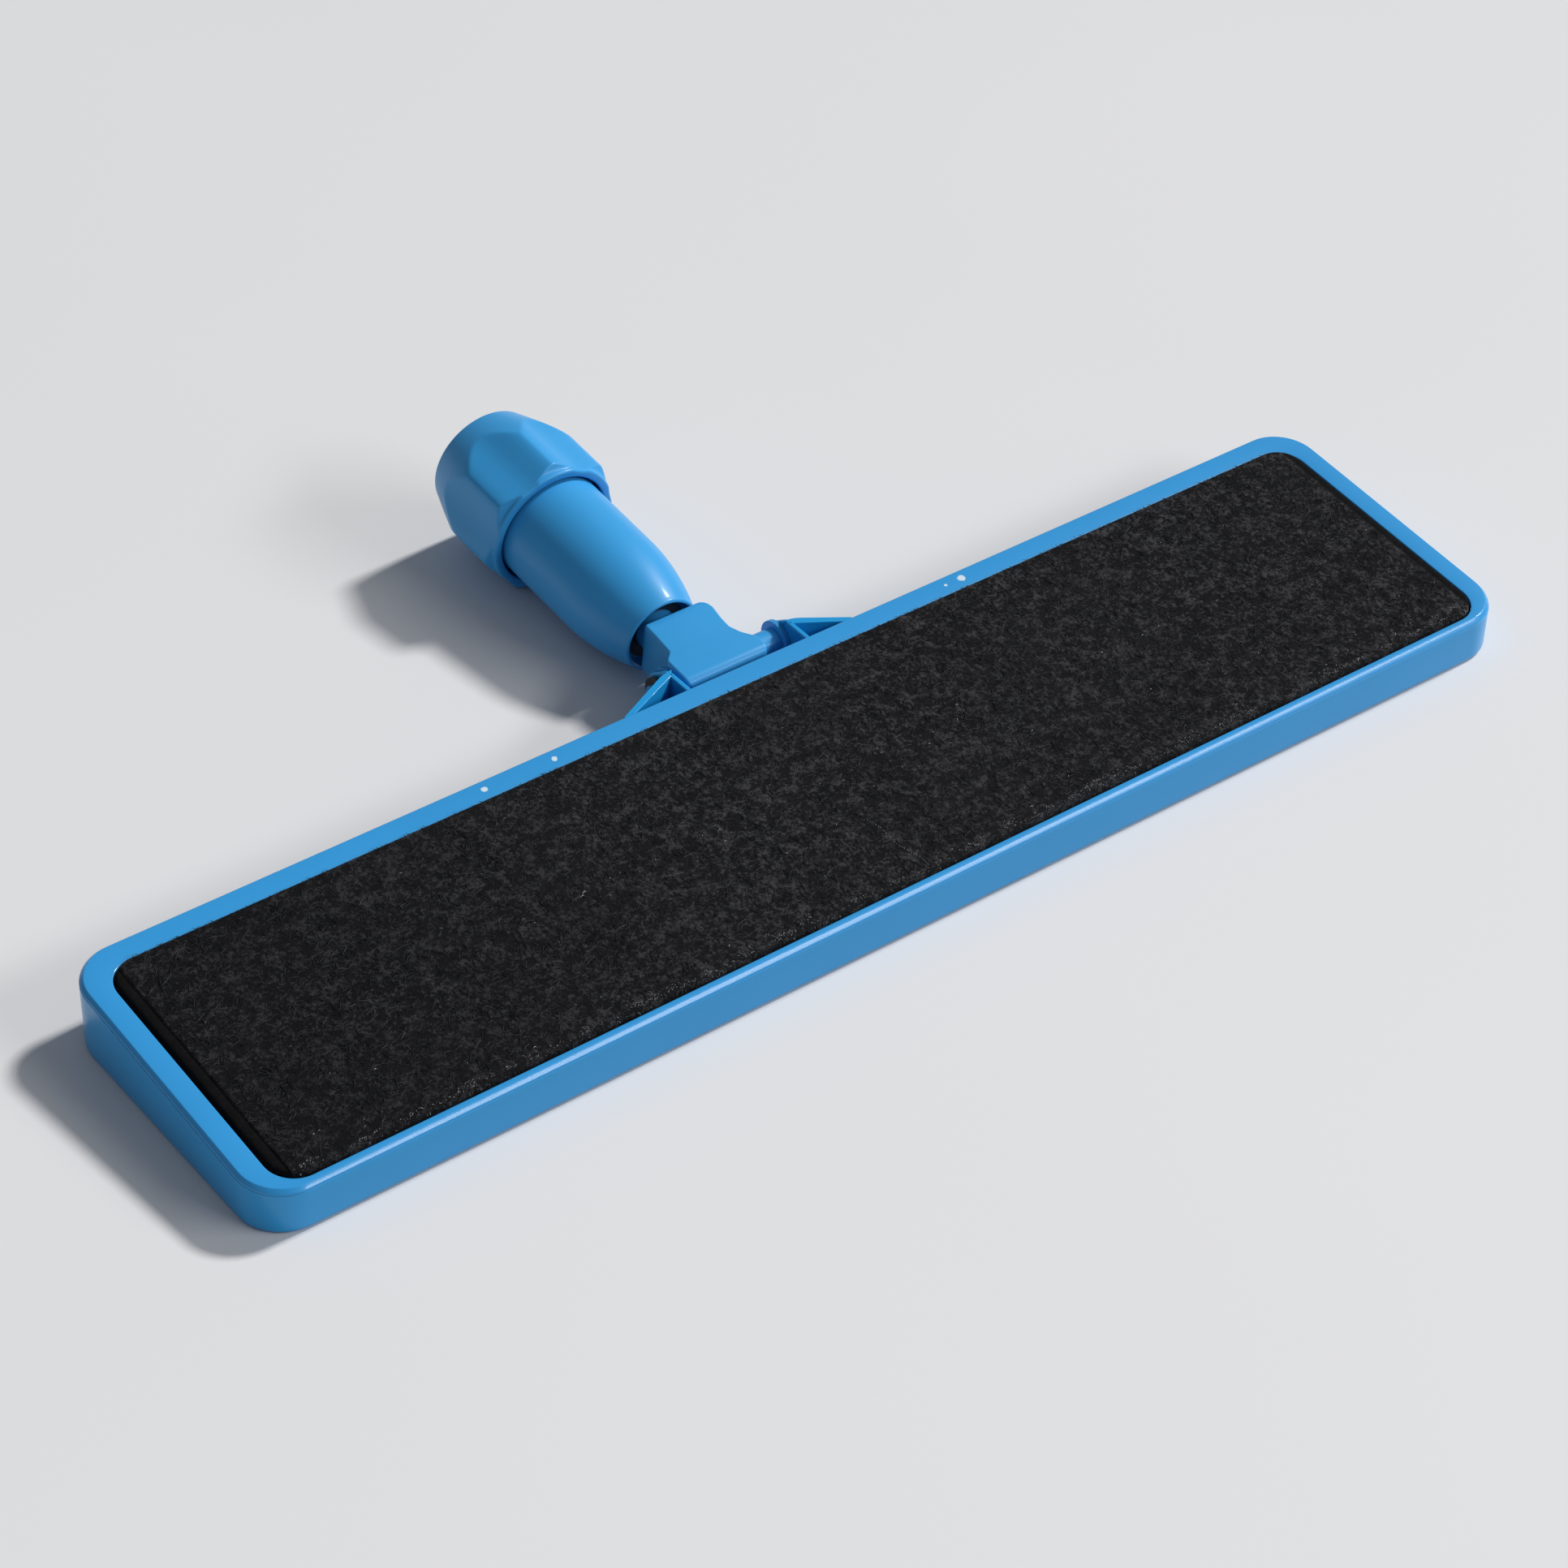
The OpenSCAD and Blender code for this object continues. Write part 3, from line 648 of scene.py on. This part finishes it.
def stations(node):
    """Lowest and highest station along the pole axis of a CAD node."""
    vertices = frame["nodes"][node].data.vertices
    places = np.empty(3 * len(vertices))
    vertices.foreach_get("co", places)
    reach = (places.reshape(-1, 3) - pole_base) @ axis_y
    return reach.min(), reach.max()


def smooth(t):
    """Runs from 0 to 1 with level ends."""
    t = np.clip(t, 0, 1)
    return t * t * (3 - 2 * t)


connector_blue = moulded("connector_blue", (0.04, 0.325, 0.69), (0.037, 0.31, 0.66), 0.4,
                         coat=0.12)
barrel_s0, barrel_s1 = stations("socket_barrel")
block_end = barrel_s0 - 0.0008
bar_front = 0.0094
bar_half = 0.009
bar_round = 0.003
block_low, block_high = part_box("swivel_block")
bar_left = block_low.x - pole_x
bar_right = block_high.x - pole_x


def block_sections():
    """Sections across the pole axis, from the crossbar's front to the block's flat end.
    Each is a rounded rectangle. Its half-height keeps level but for a rounding at both ends.
    Its right side runs from the crossbar's arm through a waist to the body, and its left side
    from the arm straight to the body. Both ends are rounded in plan as well."""
    front, rear = bar_round - bar_front, block_end - bar_round
    s = np.concatenate([front - bar_round * np.cos(np.linspace(0.12, math.pi / 2, 14)),
                        np.linspace(front, rear, 90)[1:],
                        rear + bar_round * np.sin(np.linspace(0, math.pi / 2, 10))[1:]])
    near = np.clip((front - s) / bar_round, 0, 1)
    far = np.clip((s - rear) / bar_round, 0, 1)
    front_trim = 1 - np.sqrt(1 - near ** 2)
    end_trim = 1 - np.sqrt(1 - far ** 2)
    tall = bar_half - bar_round * front_trim - 0.0007 * end_trim
    places = np.array([-0.0095, -0.0045, -0.002, 0.0015, 0.0055, 0.010, 0.0155, 0.0205])
    sides_at = [bar_right, bar_right, 0.0183, 0.0157, 0.0141, 0.0143, 0.0151, 0.0142]
    even = np.linspace(places[0], places[-1], 60)
    right = np.interp(s, even, np.interp(even, places, sides_at))
    for _ in range(3):
        right[1:-1] = (right[:-2] + 2 * right[1:-1] + right[2:]) / 4
    left = bar_left + 0.0028 * smooth((s - 0.002) / 0.004) + 0.0008 * smooth(s / 0.018)
    right = right - 0.0026 * front_trim - 0.0022 * end_trim
    left = left + 0.0012 * front_trim + 0.0007 * end_trim
    corner = np.minimum(0.0009, tall * 0.9)[:, None]
    angle = np.linspace(0, math.pi / 2, 9)
    quarters = []
    for edge_x, sx, sz, turn in ((right, 1, 1, angle), (left, -1, 1, angle[::-1]),
                                 (left, -1, -1, angle), (right, 1, -1, angle[::-1])):
        quarters.append(np.stack([edge_x[:, None] - sx * corner * (1 - np.cos(turn)),
                                  sz * (tall[:, None] - corner * (1 - np.sin(turn)))], -1))
    return s, np.concatenate(quarters, 1)


s, section = block_sections()
wide = section.shape[1]
block_points = on_pole(section[..., 0], np.repeat(s[:, None], wide, 1), section[..., 1])
block_faces = grid_faces(len(s), wide)
block_faces.append(list(range(wide))[::-1])
block_faces.append([(len(s) - 1) * wide + i for i in range(wide)])
piece("swivel_tee", block_points, block_faces, connector_blue, "swivel",
      ["swivel_block"])

shank_s = stations("swivel_block")[1]
shank_r = 0.007
screw_hole_r = 0.002
shank_steps = 64
shank = np.array([(block_end - 0.002, shank_r), (block_end - 0.002, screw_hole_r),
                  (shank_s, screw_hole_r), (shank_s, shank_r - 0.0004),
                  (shank_s - 0.0004, shank_r)])
angle = np.linspace(0, 2 * math.pi, shank_steps, endpoint=False)
points = on_pole(shank[:, 1:] * np.cos(angle), np.repeat(shank[:, :1], shank_steps, 1),
                 shank[:, 1:] * np.sin(angle))
piece("swivel_shank", points, grid_faces(len(shank), shank_steps, loop_rows=True),
      connector_blue, "swivel")


# ---------------------------------------------------------------- Socket barrel
# The barrel is a thick blue tube, drawn in like a bullet at its lower mouth.
# It takes the pole in its long bore and has a coarse screw thread under the collar.
mouth_r = 0.0134
barrel_r = 0.0186
thread_r = 0.0200
bore_r = 0.0160
cavity_r = 0.012
pitch = 0.003
bore_s0 = barrel_s1 - 0.054
bush_s1 = stations("swivel_bush")[1]
bush_hole_r = 0.0085
bush_wall = 0.006
bullet = 0.028
thread_s0 = stations("collar_nut")[0] + 0.0045
mouth_lip = 0.0009

t = np.linspace(0, 1, 26)[1:]
outer_rows = [(barrel_s0 + mouth_lip * (1 - c), mouth_r - mouth_lip * (1 - s))
              for s, c in arc_steps(5)]
outer_rows += list(zip(barrel_s0 + mouth_lip + t * (bullet - mouth_lip),
                       mouth_r + (barrel_r - mouth_r) * (1 - (1 - t) ** 1.9)))
outer_rows += [(x, barrel_r)
               for x in np.linspace(barrel_s0 + bullet, thread_s0 - 0.0004, 8)[1:]]
inner_rows = [(barrel_s1, thread_r - 0.0022), (barrel_s1, bore_r + 0.0006),
              (barrel_s1 - 0.0006, bore_r), (bore_s0, bore_r), (bore_s0, cavity_r),
              (bush_s1, cavity_r), (bush_s1, bush_hole_r), (bush_s1 - bush_wall, bush_hole_r),
              (bush_s1 - bush_wall, cavity_r), (barrel_s0 + 0.0004, cavity_r),
              (barrel_s0, cavity_r + 0.0004)]


def barrel_points(steps):
    """Every row is a circle, apart from the thread's rows: there the radius rises and falls
    with the station less the helix's advance, as a rounded trapezium wave."""
    angle = np.linspace(0, 2 * math.pi, steps, endpoint=False)[None, :]
    rows_per_turn = 10
    run_out = 0.0016
    thread_s = np.linspace(thread_s0, barrel_s1 - 0.0006,
                           int((barrel_s1 - thread_s0) / pitch * rows_per_turn))
    wave = np.cos(2 * math.pi * (thread_s[:, None] / pitch - angle / (2 * math.pi)))
    crest = np.clip(wave * 1.4, -1, 1) * 0.5 + 0.5
    fade = smooth((thread_s - thread_s0) / run_out) * smooth((barrel_s1 - thread_s) / run_out)
    thread_rad = barrel_r + 0.00005 + (thread_r - barrel_r - 0.0001) * crest * fade[:, None]
    blocks = [np.repeat(np.array(outer_rows)[:, :, None], steps, 2)]
    blocks.append(np.stack([np.repeat(thread_s[:, None], steps, 1), thread_rad], 1))
    blocks.append(np.repeat(np.array(inner_rows)[:, :, None], steps, 2))
    rows = np.concatenate(blocks)
    return on_pole(rows[:, 1] * np.cos(angle), rows[:, 0], rows[:, 1] * np.sin(angle)), len(rows)


barrel_steps = 144
points, row_count = barrel_points(barrel_steps)
piece("pole_barrel", points, grid_faces(row_count, barrel_steps, loop_rows=True),
      connector_blue, "barrel", ["socket_barrel"])


# ---------------------------------------------------------------- Collar
# The screw collar squeezes the clinch ring onto the pole. It is a blue moulding with
# seven slightly hollow grip flats, softened ridges and a rounded nose.
collar_s0, collar_s1 = stations("collar_nut")
sides = 7
grip_corner = 0.0252
flat_r = grip_corner * math.cos(math.pi / sides)
nose_r = 0.0186
tip_r = 0.0008
hollow = 0.0006
hole_r = 0.0196
nose_bore = 0.0164
thread_in = 0.0201
clinch_s0, clinch_s1 = stations("clinch_ring")


def lesser(first, second, soft):
    """The smaller of two radii, blended where they come within about soft of each other."""
    return -soft * np.log(np.exp(-first / soft) + np.exp(-second / soft))


def collar_points(steps):
    """Rows from the face's hole outwards, along the grip, over the nose and back through the
    bore. On the grip the radius is a polygon's, held in by a rounding at each ridge and
    hollowed a little on each flat. A round lip trims the ridges at the open end, and the
    nose's dome cuts them off at the other."""
    angle = np.linspace(0, 2 * math.pi, steps, endpoint=False)
    turn = (angle + math.pi / 2 + math.pi / sides) % (2 * math.pi / sides) - math.pi / sides
    polygon = lesser(flat_r / np.cos(turn), grip_corner - 0.0003, 0.0004)
    grip = polygon - hollow * np.cos(turn * sides / 2) ** 2
    face_r = 0.0009
    lip = flat_r - 0.0002
    lip_rise = 0.0028
    lip_end = collar_s0 + 0.0042
    dome_s0 = collar_s0 + 0.017
    dome_r = 0.0256
    rows = [(collar_s0 + 0.0005, np.full(steps, hole_r)),
            (collar_s0, np.full(steps, hole_r + 0.0005))]
    rows += [(collar_s0 + face_r * (1 - c), np.minimum(grip, lip) - face_r * (1 - s))
             for s, c in arc_steps(5)]
    for at in np.linspace(collar_s0 + face_r, lip_end, 16)[1:]:
        held = lip + lip_rise * smooth((at - collar_s0 - 0.0014) / 0.0026)
        rows.append((at, lesser(grip, held, 0.00008)))
    rows += [(at, grip) for at in np.linspace(lip_end, dome_s0, 8)[1:]]
    for at in np.linspace(dome_s0, collar_s1 - tip_r, 60)[1:]:
        share = (at - dome_s0) / (collar_s1 - dome_s0)
        rows.append((at, lesser(grip, dome_r - (dome_r - nose_r) * share ** 1.2, 0.00012)))
    rows += [(collar_s1 - tip_r * (1 - s), rows[-1][1] - tip_r * (1 - c))
             for s, c in arc_steps(4)]
    inner = [(collar_s1, nose_bore + 0.0005), (collar_s1 - 0.0005, nose_bore),
             (clinch_s1 + 0.0003, nose_bore), (clinch_s1 + 0.0003, thread_in - 0.002),
             (clinch_s0, thread_in), (collar_s0 + 0.0013, thread_in), (collar_s0 + 0.0007, hole_r)]
    rows += [(at, np.full(steps, r)) for at, r in inner]
    station = np.array([at for at, _ in rows])[:, None] + np.zeros(steps)
    radius = np.stack([r for _, r in rows])
    return on_pole(radius * np.cos(angle), station, radius * np.sin(angle)), len(rows)


collar_steps = 252
points, row_count = collar_points(collar_steps)
piece("grip_collar", points, grid_faces(row_count, collar_steps, loop_rows=True),
      connector_blue, "collar", ["collar_nut"], smooth=50.0)


# ---------------------------------------------------------------- Cover and metal parts
# A flat blue sheet moulding closes the underside. It has a fine leather-like tool grain.
# The screws and washer are zinc-plated steel, the clip is steel made near black as painted shade,
# the pin coated in blue.
def dress(node, finish):
    """Gives a carried-over CAD node its finish."""
    mesh = frame["nodes"][node].data
    mesh.materials.clear()
    mesh.materials.append(finish)


f = Finish("grained_cover")
pebble = f.node("TexVoronoi", inputs={"Vector": f.place(), "Scale": 700.0})
cover_tone = f.mix(f.noise(0.03), (0.034, 0.235, 0.54), (0.04, 0.265, 0.6))
dress("back_cover", f.surface(Base_Color=cover_tone, Roughness=0.55,
                              Normal=f.bump(pebble, 0.0002, 0.5), Specular_IOR_Level=0.4))

f = Finish("plated_steel")
streak = f.noise(0.0008, 4.0, 0.6, (0.15, 1.0, 1.0))
steel_tone = f.mix(streak, (0.50, 0.51, 0.53), (0.66, 0.67, 0.68))
plated = f.surface(Base_Color=steel_tone, Metallic=1.0, Roughness=0.24 + 0.2 * streak,
                   Normal=f.bump(streak, 0.00003, 0.4))
for node in ("cover_screws", "swivel_washer", "swivel_screw"):
    dress(node, plated)

# Painted shade: the clip's near-black colour stands for the shade it sits in beside the left ear.
f = Finish("shade_dark_clip_steel")
clip_shade_mottle = f.noise(0.001, 3.0)
dress("pin_clip", f.surface(Base_Color=f.mix(clip_shade_mottle, (0.02, 0.021, 0.023), (0.04, 0.041, 0.044)),
                            Metallic=0.7, Roughness=0.4 + 0.15 * clip_shade_mottle))

f = Finish("coated_pin")
pin_tone = f.mix(f.noise(0.004), (0.026, 0.262, 0.59), (0.028, 0.275, 0.615))
dress("hinge_pin", f.surface(Base_Color=pin_tone, Roughness=0.36 + 0.1 * f.noise(0.002),
                             Normal=f.bump(f.noise(0.0008), 0.00003, 0.4), Coat_Weight=0.3))


# ---------------------------------------------------------------- Bearings and grip
# Knuckle bushes and clinch ring are white acetal, the swivel's bushes black acetal, and the
# washers and sleeve blue acetal, which all wear well when wet.
# Each is turned or moulded smooth, with a faint cloudiness and a waxy gloss.
f = Finish("white_acetal")
milk = f.noise(0.006, 3.0)
acetal_tone = f.mix(milk, (0.70, 0.70, 0.67), (0.80, 0.80, 0.77))
acetal = f.surface(Base_Color=acetal_tone, Roughness=0.32 + 0.1 * milk,
                   Normal=f.bump(f.noise(0.0006, 2.0), 0.00003, 0.4))
for node in ("knuckle_bushes", "clinch_ring"):
    dress(node, acetal)

f = Finish("black_acetal")
dark = f.noise(0.006, 3.0)
black_acetal = f.surface(Base_Color=f.mix(dark, (0.012, 0.012, 0.014), (0.02, 0.02, 0.023)),
                         Roughness=0.35 + 0.1 * dark,
                         Normal=f.bump(f.noise(0.0006, 2.0), 0.00003, 0.4))
for node in ("swivel_bush", "thrust_bush"):
    dress(node, black_acetal)
for node in ("friction_washers", "spacer_sleeve"):
    dress(node, connector_blue)


# ---------------------------------------------------------------- Seal and soft layers
# The sealing ring is black rubber; the cushion is closed-cell foam, and the hook sheet
# that holds the pad is black nylon with a fine nap.
f = Finish("black_rubber")
dress("sealing_ring", f.surface(Base_Color=f.mix(f.noise(0.003), (0.012, 0.012, 0.013),
                                                 (0.02, 0.02, 0.021)),
                                Roughness=0.5, Normal=f.bump(f.noise(0.0004), 0.00004, 0.5)))
f = Finish("closed_cell_foam")
cells = f.node("TexVoronoi", inputs={"Vector": f.place(), "Scale": 1600.0})
dress("foam_cushion", f.surface(Base_Color=f.mix(cells, (0.025, 0.025, 0.028), (0.05, 0.05, 0.055)),
                                Roughness=0.9, Normal=f.bump(cells, 0.0004, 0.8)))
f = Finish("hook_nylon")
nap = f.node("TexVoronoi", inputs={"Vector": f.place(), "Scale": 1100.0})
dress("hook_sheet", f.surface(Base_Color=f.mix(nap, (0.02, 0.02, 0.022), (0.008, 0.008, 0.009)),
                              Roughness=0.8, Normal=f.bump(nap, 0.0005, 0.9)))
